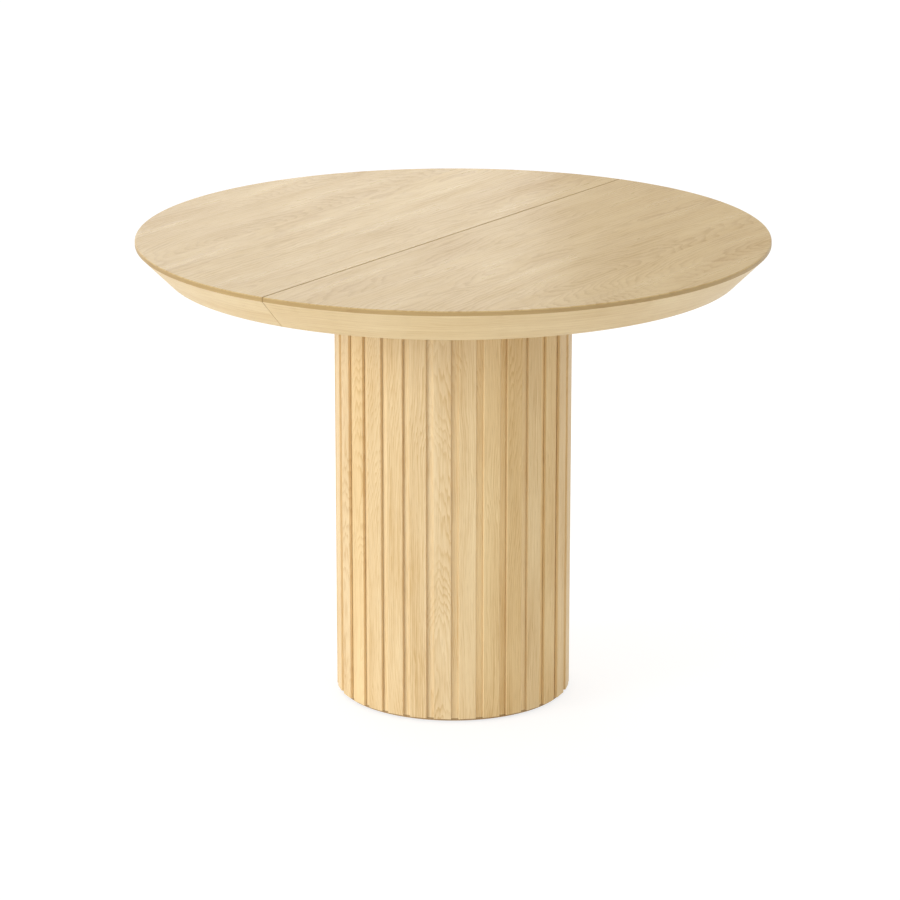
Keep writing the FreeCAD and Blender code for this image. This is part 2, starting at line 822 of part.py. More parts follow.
# Latch lever: arm along +X from its pivot, a slot round the pivot for the keeper pin, a finger tab
def make_lever(way):
    half = latch_width / 2
    end = latch_arm + latch_tip
    slot = latch_pin_radius + latch_slot_gap
    plate = box(0, end, -half, half, latch_low, latch_high)
    plate = plate.fuse(rod(latch_boss_diameter / 2, latch_low, latch_high))
    arc = tube(latch_arm + slot, latch_arm - slot, latch_low, latch_high)
    back = -way * latch_slot_over
    side = box(0, 2 * end, min(back, way * end), max(back, way * end), latch_low, latch_high)
    plate = plate.cut(arc.common(side)).cut(rod(slot, latch_low, latch_high, latch_arm, back))
    plate = plate.cut(rod(latch_pin_radius + latch_pin_gap, latch_low, latch_high))
    tab = box(end - latch_tab_thickness, end, -half, half, latch_low - latch_tab_height, latch_low)
    lever = spun(plate.fuse(tab).removeSplitter(), -90 * way)
    return moved(lever, -latch_pivot_inset, way * latch_offset, 0)


def cut_dowel_holes(panel, low_x, high_x, gap):
    for y in dowel_places:
        panel = panel.cut(rod_along_x(dowel_radius + gap, low_x, high_x, y, dowel_z))
    return panel


latch_screw_places = []
keeper_screw_places = []
for way in (-1, 1):
    latch_screw_places += plate_screw_places(plate_far, -latch_plate_inset, way)
    keeper_screw_places += plate_screw_places(keeper_x - keeper_length / 2, keeper_x + keeper_length / 2, way)


def cut_sunk_holes(panel, places):
    for x, y in places:
        panel = panel.cut(sunk_screw(x, y, latch_plate_low, screw_bite, 1, screw_gap))
    return panel


panel = make_panel()
left_panel = cut_dowel_holes(panel, -dowel_sunk - seam_side, 0, dowel_glue_gap)
right_panel = cut_dowel_holes(to_right(panel), 0, dowel_out + dowel_end_gap, dowel_socket_gap)
apron = make_apron()
blocks = make_blocks()
save("left_top_panel", cut_sunk_holes(left_panel, latch_screw_places))
save("right_top_panel", cut_sunk_holes(right_panel, keeper_screw_places))
save("left_apron", apron)
save("right_apron", to_right(apron))
save("left_glue_blocks", blocks)
save("right_glue_blocks", to_right(blocks))
dowel_low = -dowel_sunk - seam_side
seam_dowels = [rod_along_x(dowel_radius, dowel_low, dowel_out - seam_side, y, dowel_z) for y in dowel_places]
save("seam_dowels", group(seam_dowels))
save("latch_plate_front", make_latch_plate(-1))
save("latch_plate_back", make_latch_plate(1))
save("latch_pivots", group([make_pivot(-1), make_pivot(1)]))
save("latch_lever_front", make_lever(-1))
save("latch_lever_back", make_lever(1))
save("latch_keeper_front", make_keeper(-1))
save("latch_keeper_back", make_keeper(1))
latch_screws = [sunk_screw(x, y, latch_plate_low, screw_bite, 1) for x, y in latch_screw_places]
keeper_screws = [sunk_screw(x, y, latch_plate_low, screw_bite, 1) for x, y in keeper_screw_places]
save("latch_screws", group(latch_screws))
save("keeper_screws", group(keeper_screws))
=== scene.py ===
"""Extending round table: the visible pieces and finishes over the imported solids, in metres."""
import json
import math

import bmesh
import bpy
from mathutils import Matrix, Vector


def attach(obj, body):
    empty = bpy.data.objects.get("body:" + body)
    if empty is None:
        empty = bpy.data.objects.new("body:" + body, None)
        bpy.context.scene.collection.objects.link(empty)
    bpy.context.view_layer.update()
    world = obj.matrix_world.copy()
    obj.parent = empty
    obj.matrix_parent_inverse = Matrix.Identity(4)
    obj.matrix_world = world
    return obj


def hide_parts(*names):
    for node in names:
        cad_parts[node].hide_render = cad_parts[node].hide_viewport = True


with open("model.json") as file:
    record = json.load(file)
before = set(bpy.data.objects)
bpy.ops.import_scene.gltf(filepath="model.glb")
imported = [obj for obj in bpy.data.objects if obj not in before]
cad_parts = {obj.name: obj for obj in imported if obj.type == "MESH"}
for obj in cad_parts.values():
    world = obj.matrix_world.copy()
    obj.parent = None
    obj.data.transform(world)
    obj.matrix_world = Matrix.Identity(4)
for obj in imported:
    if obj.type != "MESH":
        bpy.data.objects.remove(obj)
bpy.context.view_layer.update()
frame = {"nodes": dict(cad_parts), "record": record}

# Top and its bevelled edge
top_radius = 0.5
top_high = 0.750
rim_height = 0.007
rim_round = 0.002
panel_low = 0.734
panel_low_radius = 0.491
seam_side = 0.0005
seam_chamfer = 0.001
apron_low = 0.695
apron_low_radius = 0.452
apron_wall = 0.022
apron_round = 0.0012
apron_corner_share = 0.3
round_steps = 4
half_steps = 150

# Finishes on a half of the top, in their order
face_finish = 0
rim_finish = 1
bevel_finish = 2

# Dowel sockets in the right half
dowel_places = (-0.36, -0.12, 0.12, 0.36)
dowel_height = 0.742
socket_radius = 0.00408
socket_depth = 0.0135
socket_sides = 32

# Drum
slat_count = 30
slat_face_radius = 0.188
slat_width = 0.0275
slat_thickness = 0.005
slat_low = 0.007
slat_high = 0.650
slat_round = 0.001
slat_step = 2 * math.pi / slat_count
slat_first_turn = math.radians(-1)
slat_draw = 250
core_radius = 0.183
core_bore = 0.171
core_low = 0.003
core_high = 0.632
core_steps = 240

# Wood screws: head outlines as shares of the head's radius and height, a cross recess in each head
screw_head_radius = 0.0034
screw_shank_radius = 0.002
pan_height = 0.0022
flat_height = 0.0015
pan_outline_shares = ((0.47, 0.05), (0.76, 0.23), (0.94, 0.5), (1.0, 0.77), (1.0, 1.0))
flat_outline_shares = ((0.92, 0.0), (1.0, 0.1), (0.59, 1.0))
recess_reach = 0.0019
recess_side = 0.00036
recess_depth = 0.0011
recess_foot_share = 0.6
screw_sides = 24
screw_turn = 0.7
screw_bite = 0.0002
rod_length = 1.0
screw_sets = {"pedestal": ("guide_screws", "rail_screws"),
              "left_top": ("left_bar_screws", "left_rack_screws", "latch_screws"),
              "right_top": ("right_bar_screws", "right_rack_screws", "keeper_screws")}
flat_headed = ("rail_screws", "latch_screws", "keeper_screws")

# Welding and shading of the meshes
weld_distance = 1e-7
packed_weld_distance = 1e-6
sharp_angle = math.radians(35)
flat_face_weight = 100

# Photograph's view: camera on a circle round the table, tilted down
photo_width = 900
sensor_width = 36.0
view_turn = math.radians(34.2)
view_distance = 5.8
view_height = 2.0845
view_tilt = 0.2833
view_sideways = 0.005
view_focal_pixels = 3773.6
view_near = 0.05
view_far = 200.0


# Colours are written as 8-bit screen values and turned into linear ones
def colour(red, green, blue):
    shares = [value / 255 for value in (red, green, blue)]
    linear = [((s + 0.055) / 1.055) ** 2.4 if s > 0.04045 else s / 12.92 for s in shares]
    return (*linear, 1.0)


# Node wiring
def add(tree, kind, values=None, **settings):
    made = tree.nodes.new(kind)
    for name, value in settings.items():
        setattr(made, name, value)
    for key, value in (values or {}).items():
        if isinstance(value, bpy.types.NodeSocket):
            tree.links.new(value, made.inputs[key])
        else:
            made.inputs[key].default_value = value
    return made


def calc(tree, operation, *values):
    return add(tree, "ShaderNodeMath", dict(enumerate(values)), operation=operation).outputs[0]


def joined(tree, x, y, z):
    return add(tree, "ShaderNodeCombineXYZ", {0: x, 1: y, 2: z}).outputs[0]


def parted(tree, vector):
    return add(tree, "ShaderNodeSeparateXYZ", {0: vector}).outputs


def noise(tree, vector, detail, roughness=0.5):
    values = {"Vector": vector, "Scale": 1.0, "Detail": detail, "Roughness": roughness}
    return add(tree, "ShaderNodeTexNoise", values).outputs[0]


def ramp(tree, value, *stops):
    made = add(tree, "ShaderNodeValToRGB", {0: value})
    points = made.color_ramp.elements
    while len(points) < len(stops):
        points.new(1.0)
    for point, (place, shade) in zip(points, stops):
        point.position = place
        point.color = (shade, shade, shade, 1.0)
    return made.outputs[0]


def mixed(tree, share, first, second, blend="MIX"):
    made = add(tree, "ShaderNodeMix", {0: share, 6: first, 7: second}, data_type="RGBA", blend_type=blend)
    return made.outputs[2]


def held(tree, value):
    return add(tree, "ShaderNodeClamp", {0: value}).outputs[0]


def white_draw(tree, number):
    return add(tree, "ShaderNodeTexWhiteNoise", {"W": number}, noise_dimensions="1D").outputs


def object_axes(tree):
    return parted(tree, add(tree, "ShaderNodeTexCoord").outputs["Object"])


def finish_material(name):
    made = bpy.data.materials.new(name)
    made.use_nodes = True
    return made, made.node_tree, made.node_tree.nodes["Principled BSDF"]


def set_relief(tree, shader, height, depth):
    bump = add(tree, "ShaderNodeBump", {"Height": height, "Distance": depth, "Strength": 1.0})
    tree.links.new(bump.outputs[0], shader.inputs["Normal"])


# Oak: a plain board's figure, with lengths in metres and shares of the deeper colour
board_figure = {"ring_width": 0.0048, "heart_spread": 0.13, "heart_depth": 0.004, "depth_spread": 0.05,
                "slope_spread": 0.35, "ring_share": 0.26, "vein_share": 0.14, "streak_share": 0.30,
                "fleck_share": 0.2, "cloud_share": 0.24, "tone_share": 0.14, "pore_share": 0.3, "rough": 0.40,
                "gloss": 0.5, "flame_step": 10.0, "flame_cross": 150.0, "flame_reach": 2.4,
                "warm_share": 0.0, "warm_draw": 0}

# What the ruddiest board's colour is multiplied by
warm_tint = (1.0, 0.92, 0.73, 1.0)

# How far the grain bends sideways and the rings wander in depth; how far apart boards lie in the noises
bend_reach = 0.02
wander_reach = 0.06
board_gap = 3.71

# Noises run from 0 to 1 about this middle: steps in a metre along and across the grain, detail, roughness
draw_middle = 0.5
grain_noises = {
    "bend": (3.0, 5.0, 2.0, 0.5), "wander": (4.0, 9.0, 2.0, 0.5), "clear": (6.0, 30.0, 1.0, 0.5),
    "fibre": (34.0, 1900.0, 1.0, 0.5), "streak": (4.0, 34.0, 4.0, 0.6), "vein": (5.0, 420.0, 2.0, 0.5),
    "fleck": (11.0, 120.0, 2.0, 0.5), "cloud": (4.5, 10.0, 2.0, 0.5)}
flame_detail = 3.0
flame_roughness = 0.6

# Marks: how strong each is at which level of its noise, or at which place across a ring
mark_stops = {
    "ring": ((0.0, 0.05), (0.45, 0.2), (0.86, 1.0), (1.0, 0.05)), "clear": ((0.3, 0.25), (0.65, 1.0)),
    "pore": ((0.60, 0.0), (0.70, 1.0)), "streak": ((0.30, 0.0), (0.70, 1.0)),
    "vein": ((0.35, 0.0), (0.68, 1.0)), "fleck": ((0.52, 0.0), (0.72, 1.0)),
    "cloud": ((0.3, 0.0), (0.7, 1.0))}

# Pores: their strength where a ring starts, what it loses across the ring, and what they do to the surface
pore_start = 0.9
pore_loss = -0.6
pore_rough = 0.14
pore_height = -0.8
fibre_height = -0.2
streak_rough = 0.08
oak_relief = 0.0001


def grain_noise(tree, place, along_steps, across_steps, detail, roughness):
    along, across, far = place
    stretched_along = calc(tree, "MULTIPLY", along, along_steps)
    stretched_across = calc(tree, "MULTIPLY", across, across_steps)
    return noise(tree, joined(tree, stretched_along, stretched_across, far), detail, roughness)


def grain_mark(tree, place, kind):
    return ramp(tree, grain_noise(tree, place, *grain_noises[kind]), *mark_stops[kind])


# How far across its growth ring a point is, 0 to 1: each board is cut from its own place beside the heart
def ring_phase(tree, place, draws, figure):
    along, across, far = place
    heart = calc(tree, "MULTIPLY", calc(tree, "SUBTRACT", draws[0], draw_middle), figure["heart_spread"])
    first_depth = calc(tree, "MULTIPLY_ADD", draws[1], figure["depth_spread"], figure["heart_depth"])
    lean = calc(tree, "MULTIPLY_ADD", draws[2], 2.0, -1.0)
    steep = calc(tree, "MULTIPLY", lean, calc(tree, "ABSOLUTE", lean))
    slope = calc(tree, "MULTIPLY", steep, figure["slope_spread"])
    wander = calc(tree, "SUBTRACT", grain_noise(tree, place, *grain_noises["wander"]), draw_middle)
    depth = calc(tree, "MULTIPLY_ADD", slope, along, first_depth)
    depth = calc(tree, "MULTIPLY_ADD", wander, wander_reach, depth)
    side = calc(tree, "SUBTRACT", across, heart)
    squares = calc(tree, "ADD", calc(tree, "POWER", side, 2.0), calc(tree, "POWER", depth, 2.0))
    rings = calc(tree, "DIVIDE", calc(tree, "SQRT", squares), figure["ring_width"])
    flame_steps = (figure["flame_step"], figure["flame_cross"])
    shake = grain_noise(tree, place, *flame_steps, flame_detail, flame_roughness)
    return calc(tree, "FRACT", calc(tree, "MULTIPLY_ADD", shake, figure["flame_reach"], rings))


def oak(name, board, pale, deep, pore_colour, wear_and_painted_shade=None, **changes):
    """Oak finish. board(tree) gives sockets along and across the grain, in metres, and the board's number."""
    figure = {**board_figure, **changes}
    made, tree, shader = finish_material(name)
    along, straight, lot = board(tree)
    bend = grain_noise(tree, (along, straight, lot), *grain_noises["bend"])
    across = calc(tree, "MULTIPLY_ADD", calc(tree, "SUBTRACT", bend, draw_middle), bend_reach, straight)
    place = (along, across, calc(tree, "MULTIPLY", lot, board_gap))
    draw = white_draw(tree, lot)
    draws = add(tree, "ShaderNodeSeparateColor", {0: draw["Color"]}).outputs
    phase = ring_phase(tree, place, draws, figure)
    ring = calc(tree, "MULTIPLY", ramp(tree, phase, *mark_stops["ring"]), grain_mark(tree, place, "clear"))
    fibre = grain_noise(tree, place, *grain_noises["fibre"])
    pore = ramp(tree, fibre, *mark_stops["pore"])
    pore = calc(tree, "MULTIPLY", pore, calc(tree, "MULTIPLY_ADD", phase, pore_loss, pore_start))
    vein = grain_mark(tree, place, "vein")
    streak = grain_mark(tree, place, "streak")
    cloud = grain_mark(tree, place, "cloud")
    fleck = calc(tree, "MULTIPLY", grain_mark(tree, place, "fleck"), cloud)
    marks = {"ring_share": ring, "vein_share": vein, "streak_share": streak, "cloud_share": cloud,
             "fleck_share": fleck}
    share = calc(tree, "MULTIPLY", draw["Value"], figure["tone_share"])
    for weight, mark in marks.items():
        share = calc(tree, "MULTIPLY_ADD", mark, figure[weight], share)
    base = mixed(tree, held(tree, share), pale, deep)
    if figure["warm_share"]:
        warm = white_draw(tree, calc(tree, "ADD", lot, figure["warm_draw"]))["Value"]
        warm = calc(tree, "MULTIPLY", warm, figure["warm_share"])
        base = mixed(tree, warm, base, warm_tint, "MULTIPLY")
    base = mixed(tree, calc(tree, "MULTIPLY", pore, figure["pore_share"]), base, pore_colour)
    # A last mark over the colour: real wear on the slats, painted shade in the core's grooves and on its foot
    if wear_and_painted_shade is not None:
        wear_and_shade_share, wear_and_shade_colour = wear_and_painted_shade(tree)
        base = mixed(tree, wear_and_shade_share, base, wear_and_shade_colour)
    tree.links.new(base, shader.inputs["Base Color"])
    rough = calc(tree, "MULTIPLY_ADD", streak, streak_rough, figure["rough"])
    tree.links.new(calc(tree, "MULTIPLY_ADD", pore, pore_rough, rough), shader.inputs["Roughness"])
    height = calc(tree, "MULTIPLY_ADD", pore, pore_height, calc(tree, "MULTIPLY", fibre, fibre_height))
    set_relief(tree, shader, height, oak_relief)
    shader.inputs["Specular IOR Level"].default_value = figure["gloss"]
    return made


# Boards: a veneer leaf's width and where the first starts, an edge strip's length, beech boards in a metre
veneer_width = 0.125
veneer_start = 0.021
edge_strip_length = 9.0
beech_boards_in_metre = 6.0

# Wear on the slats' long edges, and painted shade in the grooves and on the foot below the slats
slat_wear_width = 0.0016
slat_wear_share = 0.3
slat_wear_colour = colour(244, 220, 174)
groove_shade_width = 0.0026
groove_shade_share = 0.08
foot_painted_shade_share = 0.7
painted_shade_colour = colour(134, 98, 54)


# Top: leaves of veneer side by side, grain along the seam
def top_grain(tree):
    parts = object_axes(tree)
    across = calc(tree, "ADD", parts[0], parts[2])
    lot = calc(tree, "FLOOR", calc(tree, "DIVIDE", calc(tree, "ADD", across, veneer_start), veneer_width))
    middle = calc(tree, "MULTIPLY", calc(tree, "ADD", lot, 0.5), veneer_width)
    return parts[1], calc(tree, "SUBTRACT", across, middle), lot


# Edge: grain runs round the rim, read from the piece's own map
def edge_grain(tree):
    parts = parted(tree, add(tree, "ShaderNodeUVMap", uv_map="grain").outputs[0])
    return parts[0], parts[1], calc(tree, "FLOOR", calc(tree, "DIVIDE", parts[0], edge_strip_length))


# Slats: grain upright, each slat its own board
def slat_grain(tree):
    parts = parted(tree, add(tree, "ShaderNodeAttribute", attribute_name="slat_place").outputs["Vector"])
    number = add(tree, "ShaderNodeAttribute", attribute_name="slat_number").outputs["Fac"]
    lot = calc(tree, "ADD", calc(tree, "ROUND", number), slat_draw)
    return parts[2], calc(tree, "ADD", parts[1], parts[0]), lot


# Slats are paler along their two long edges
def slat_wear(tree):
    parts = parted(tree, add(tree, "ShaderNodeAttribute", attribute_name="slat_place").outputs["Vector"])
    side = calc(tree, "ABSOLUTE", parts[1])
    past = calc(tree, "SUBTRACT", side, slat_width / 2 - slat_wear_width)
    near = held(tree, calc(tree, "DIVIDE", past, slat_wear_width))
    return calc(tree, "MULTIPLY", near, slat_wear_share), slat_wear_colour


# Core: the floor of each groove carries on the board of the slat that follows it
def core_grain(tree):
    parts = parted(tree, add(tree, "ShaderNodeUVMap", uv_map="grain").outputs[0])
    edge = slat_first_turn + math.atan(slat_width / 2 / slat_face_radius)
    turn = calc(tree, "DIVIDE", parts[1], core_radius)
    number = calc(tree, "CEIL", calc(tree, "DIVIDE", calc(tree, "SUBTRACT", turn, edge), slat_step))
    middle = calc(tree, "MULTIPLY_ADD", number, slat_step, slat_first_turn)
    across = calc(tree, "MULTIPLY", calc(tree, "SUBTRACT", turn, middle), core_radius)
    board = calc(tree, "MODULO", number, float(slat_count))
    return parts[0], across, calc(tree, "ADD", calc(tree, "ROUND", board), slat_draw)


# Painted shade: a thin dark line where a groove meets the slat before it, and a darker foot below the slats
def groove_painted_shade(tree):
    along, across, lot = core_grain(tree)
    start = slat_width / 2 - core_radius * slat_step
    near = calc(tree, "DIVIDE", calc(tree, "SUBTRACT", across, start), groove_shade_width)
    # Painted shade along the groove's corner beside the slat before it
    line = calc(tree, "MULTIPLY", calc(tree, "SUBTRACT", 1.0, held(tree, near)), groove_shade_share)
    # Painted shade on the foot of the core, recessed below the slats
    foot = calc(tree, "MULTIPLY", calc(tree, "LESS_THAN", along, slat_low), foot_painted_shade_share)
    return calc(tree, "MAXIMUM", line, foot), painted_shade_colour


# Beech: plain grain along Y, a new board at even steps along X
def block_grain(tree):
    parts = object_axes(tree)
    lot = calc(tree, "FLOOR", calc(tree, "MULTIPLY", parts[0], beech_boards_in_metre))
    return parts[1], calc(tree, "ADD", parts[0], parts[2]), lot


# Other finishes: steps in a metre along X, Y and Z, noise detail, stops, roughness and relief depth
fine_detail = 2.0
streaky_detail = 3.0
ply_streak_steps = (5.0, 90.0, 40.0)
ply_streak_stops = ((0.3, 0.0), (0.7, 1.0))
ply_thickness = 0.0015
ply_edge_limit = 0.5
ply_glue_stops = ((0.0, 1.0), (0.2, 0.0), (0.8, 0.0), (1.0, 1.0))
ply_glue_share = 0.6
ply_rough = 0.5
ply_rough_spread = 0.2
ply_relief = 0.0001
zinc_mark_steps = (900.0, 900.0, 120.0)
rail_mark_steps = (20.0, 1400.0, 1400.0)
brass_mark_steps = (700.0, 700.0, 700.0)
metal_patch_steps = (24.0, 24.0, 24.0)
metal_patch_stops = ((0.35, 0.0), (0.7, 1.0))
metal_mark_rough = 0.18
metal_patch_rough = 0.08
metal_relief = 0.00003
plastic_steps = (1600.0, 1600.0, 1600.0)
powder_steps = (900.0, 900.0, 900.0)
moulded_patch_steps = (30.0, 30.0, 30.0)
moulded_rough_spread = 0.15
moulded_relief = 0.00006


def object_noise(tree, steps, detail):
    place = add(tree, "ShaderNodeTexCoord").outputs["Object"]
    place = add(tree, "ShaderNodeMapping", {"Vector": place, "Scale": steps}, vector_type="POINT").outputs[0]
    return noise(tree, place, detail)


# Plywood: plain face, glue lines on its edges where the height runs through the plies
def plywood(name, pale, deep, glue_colour):
    made, tree, shader = finish_material(name)
    streak = object_noise(tree, ply_streak_steps, streaky_detail)
    shade = mixed(tree, ramp(tree, streak, *ply_streak_stops), pale, deep)
    ply = calc(tree, "FRACT", calc(tree, "DIVIDE", object_axes(tree)[2], ply_thickness))
    up = calc(tree, "ABSOLUTE", parted(tree, add(tree, "ShaderNodeNewGeometry").outputs["Normal"])[2])
    edge = calc(tree, "LESS_THAN", up, ply_edge_limit)
    glue = calc(tree, "MULTIPLY", ramp(tree, ply, *ply_glue_stops), edge)
    glue = calc(tree, "MULTIPLY", glue, ply_glue_share)
    tree.links.new(mixed(tree, glue, shade, glue_colour), shader.inputs["Base Color"])
    rough = calc(tree, "MULTIPLY_ADD", streak, ply_rough_spread, ply_rough)
    tree.links.new(rough, shader.inputs["Roughness"])
    set_relief(tree, shader, streak, ply_relief)
    return made


# Metal with fine marks drawn along one way and duller patches
def metal(name, bright, dull, mark_steps, rough):
    made, tree, shader = finish_material(name)
    marks = object_noise(tree, mark_steps, streaky_detail)
    patch = ramp(tree, object_noise(tree, metal_patch_steps, streaky_detail), *metal_patch_stops)
    tree.links.new(mixed(tree, patch, bright, dull), shader.inputs["Base Color"])
    low = calc(tree, "MULTIPLY_ADD", marks, metal_mark_rough, rough)
    tree.links.new(calc(tree, "MULTIPLY_ADD", patch, metal_patch_rough, low), shader.inputs["Roughness"])
    shader.inputs["Metallic"].default_value = 1.0
    set_relief(tree, shader, marks, metal_relief)
    return made


# Moulded plastic or powder coat with a fine grain
def moulded(name, first, second, grain_steps, rough):
    made, tree, shader = finish_material(name)
    grain = object_noise(tree, grain_steps, fine_detail)
    patch = object_noise(tree, moulded_patch_steps, fine_detail)
    tree.links.new(mixed(tree, patch, first, second), shader.inputs["Base Color"])
    tree.links.new(calc(tree, "MULTIPLY_ADD", grain, moulded_rough_spread, rough), shader.inputs["Roughness"])
    set_relief(tree, shader, grain, moulded_relief)
    return made


# Meshes
def placed_object(name, data):
    made = bpy.data.objects.new(name, data)
    bpy.context.scene.collection.objects.link(made)
    return made


def make_piece(name, mesh_maker, materials):
    mesh = bpy.data.meshes.new(name)
    shape = bmesh.new()
    mesh_maker(shape)
    bmesh.ops.remove_doubles(shape, verts=shape.verts, dist=weld_distance)
    bmesh.ops.recalc_face_normals(shape, faces=shape.faces)
    shape.to_mesh(mesh)
    shape.free()
    for material in materials:
        mesh.materials.append(material)
    return placed_object(name, mesh)


# Turns what the modifiers give into a plain mesh
def settle(piece):
    bpy.context.view_layer.update()
    ready = piece.evaluated_get(bpy.context.evaluated_depsgraph_get())
    mesh = bpy.data.meshes.new_from_object(ready)
    piece.modifiers.clear()
    piece.data = mesh
    return piece


def cut_away(piece, cutter):
    sink = piece.modifiers.new("cut", "BOOLEAN")
    sink.object = cutter
    sink.solver = "EXACT"
    return settle(piece)


# Smooth rounds, flat flats, crisp corners
def smoothed(piece):
    for face in piece.data.polygons:
        face.use_smooth = True
    piece.data.set_sharp_from_angle(angle=sharp_angle)
    weigh = piece.modifiers.new("flat_faces", "WEIGHTED_NORMAL")
    weigh.keep_sharp = True
    weigh.weight = flat_face_weight
    return settle(piece)


def quarter_round(radius, height, size):
    turns = [math.pi / 2 * k / round_steps for k in range(round_steps + 1)]
    return [(radius - size + size * math.sin(t), height - size + size * math.cos(t)) for t in turns]


# How far the seam face stands from the middle at a height: the top edge is chamfered
def seam_distance(height):
    return seam_side + max(0.0, height - (top_high - seam_chamfer))


# One row of points of a half ring, from seam to seam
def half_row(shape, radius, height, way):
    inset = seam_distance(height)
    first = math.acos(-inset / radius)
    last = 2 * math.pi - first
    turns = [first + (last - first) * k / half_steps for k in range(half_steps + 1)]
    out = -way * radius
    row = [shape.verts.new((out * math.cos(t), out * math.sin(t), height)) for t in turns]
    return row, turns


# Skin between two rows, with the map's first number round the ring and the second down the section
def half_skin(shape, grain, upper, lower, turns, first_down, last_down, index):
    for k in range(half_steps):
        face = shape.faces.new((upper[k], upper[k + 1], lower[k + 1], lower[k]))
        face.material_index = index
        corners = ((k, first_down), (k + 1, first_down), (k + 1, last_down), (k, last_down))
        for loop, (j, down) in zip(face.loops, corners):
            loop[grain].uv = (turns[j] * top_radius, down)


def section_lengths(section):
    lengths = [0.0]
    for (r0, z0), (r1, z1) in zip(section, section[1:]):
        lengths.append(lengths[-1] + math.hypot(r1 - r0, z1 - z0))
    return lengths


# Half of the top: flat face, rounded rim, bevel below it and the straight seam face
def panel_mesh(way):
    def build(shape):
        grain = shape.loops.layers.uv.new("grain")
        section = quarter_round(top_radius, top_high, rim_round)
        section += [(top_radius, top_high - rim_height), (panel_low_radius, panel_low)]
        downs = section_lengths(section)
        made = [half_row(shape, radius, height, way) for radius, height in section]
        rows = [row for row, turns in made]
        last = len(rows) - 2
        for k in range(len(rows) - 1):
            index = rim_finish if k >= round_steps - 1 else face_finish
            if k == last:
                index = bevel_finish
            half_skin(shape, grain, rows[k], rows[k + 1], made[k][1], downs[k], downs[k + 1], index)
        shape.faces.new(rows[0])
        shape.faces.new(reversed(rows[-1]))
        for upper, lower in zip(rows, rows[1:]):
            face = shape.faces.new((upper[0], lower[0], lower[-1], upper[-1]))
            face.material_index = rim_finish
            for loop in face.loops:
                loop[grain].uv = (loop.vert.co.y, loop.vert.co.z)
    return build


# Half of the edge ring under the top: sloping outside, plain inside
def apron_mesh(way):
    def build(shape):
        grain = shape.loops.layers.uv.new("grain")
        corner = apron_corner_share * apron_round
        section = [(panel_low_radius, panel_low), (apron_low_radius + apron_round, apron_low + apron_round),
                   (apron_low_radius + corner, apron_low + corner), (apron_low_radius - corner, apron_low),
                   (apron_low_radius - apron_wall, apron_low), (panel_low_radius - apron_wall, panel_low)]
        downs = section_lengths([(top_radius, top_high - rim_height)] + section)[1:]
        made = [half_row(shape, radius, height, way) for radius, height in section]
        rows = [row for row, turns in made]
        count = len(rows)
        for k in range(count):
            below = (k + 1) % count
            last_down = downs[below] if below else downs[k] + apron_wall
            half_skin(shape, grain, rows[k], rows[below], made[k][1], downs[k], last_down, 0)
        shape.faces.new([row[0] for row in rows])
        shape.faces.new([row[-1] for row in rows])
    return build


# The drum's shell, with the map's first number upright and carried on over its ends
def core_mesh(shape):
    grain = shape.loops.layers.uv.new("grain")
    section = [(core_radius, core_high), (core_radius, core_low),
               (core_bore, core_low), (core_bore, core_high)]
    turns = [2 * math.pi * k / core_steps for k in range(core_steps)]
    rows = [[shape.verts.new((r * math.cos(t), r * math.sin(t), z)) for t in turns] for r, z in section]
    for j, upper in enumerate(rows):
        below = (j + 1) % len(rows)
        lower = rows[below]
        for k in range(core_steps):
            following = (k + 1) % core_steps
            face = shape.faces.new((upper[k], upper[following], lower[following], lower[k]))
            high = section[j][1] - core_radius + section[j][0]
            low = section[below][1] - core_radius + section[below][0]
            rounds = (k, k + 1, k + 1, k)
            for loop, turn, up in zip(face.loops, rounds, (high, high, low, low)):
                loop[grain].uv = (up, 2 * math.pi * core_radius * turn / core_steps)


# Sockets for the other half's dowels
def socket_cutter():
    def build(shape):
        for place in dowel_places:
            made = bmesh.ops.create_cone(shape, cap_ends=True, segments=socket_sides, radius1=socket_radius,
                                         radius2=socket_radius, depth=2 * socket_depth)
            for vert in made["verts"]:
                x, y, z = vert.co
                vert.co = (z, y + place, x + dowel_height)
    return make_piece("socket_cutter", build, [])


# Trees that repeat a shape: named inputs first, plain faces with a finish last
def new_tree(name, inputs):
    tree = bpy.data.node_groups.new(name, "GeometryNodeTree")
    tree.interface.new_socket("Geometry", in_out="INPUT", socket_type="NodeSocketGeometry")
    for label, kind in inputs.items():
        tree.interface.new_socket(label, in_out="INPUT", socket_type="NodeSocket" + kind)
    tree.interface.new_socket("Geometry", in_out="OUTPUT", socket_type="NodeSocketGeometry")
    return tree


def end_tree(tree, instances, material):
    solid = add(tree, "GeometryNodeRealizeInstances", {"Geometry": instances})
    dressed = add(tree, "GeometryNodeSetMaterial", {"Geometry": solid.outputs[0], "Material": material})
    add(tree, "NodeGroupOutput", {0: dressed.outputs[0]})


def noted(tree, geometry, name, value, kind, domain):
    values = {"Geometry": geometry, "Name": name, "Value": value}
    return add(tree, "GeometryNodeStoreNamedAttribute", values, data_type=kind, domain=domain).outputs[0]


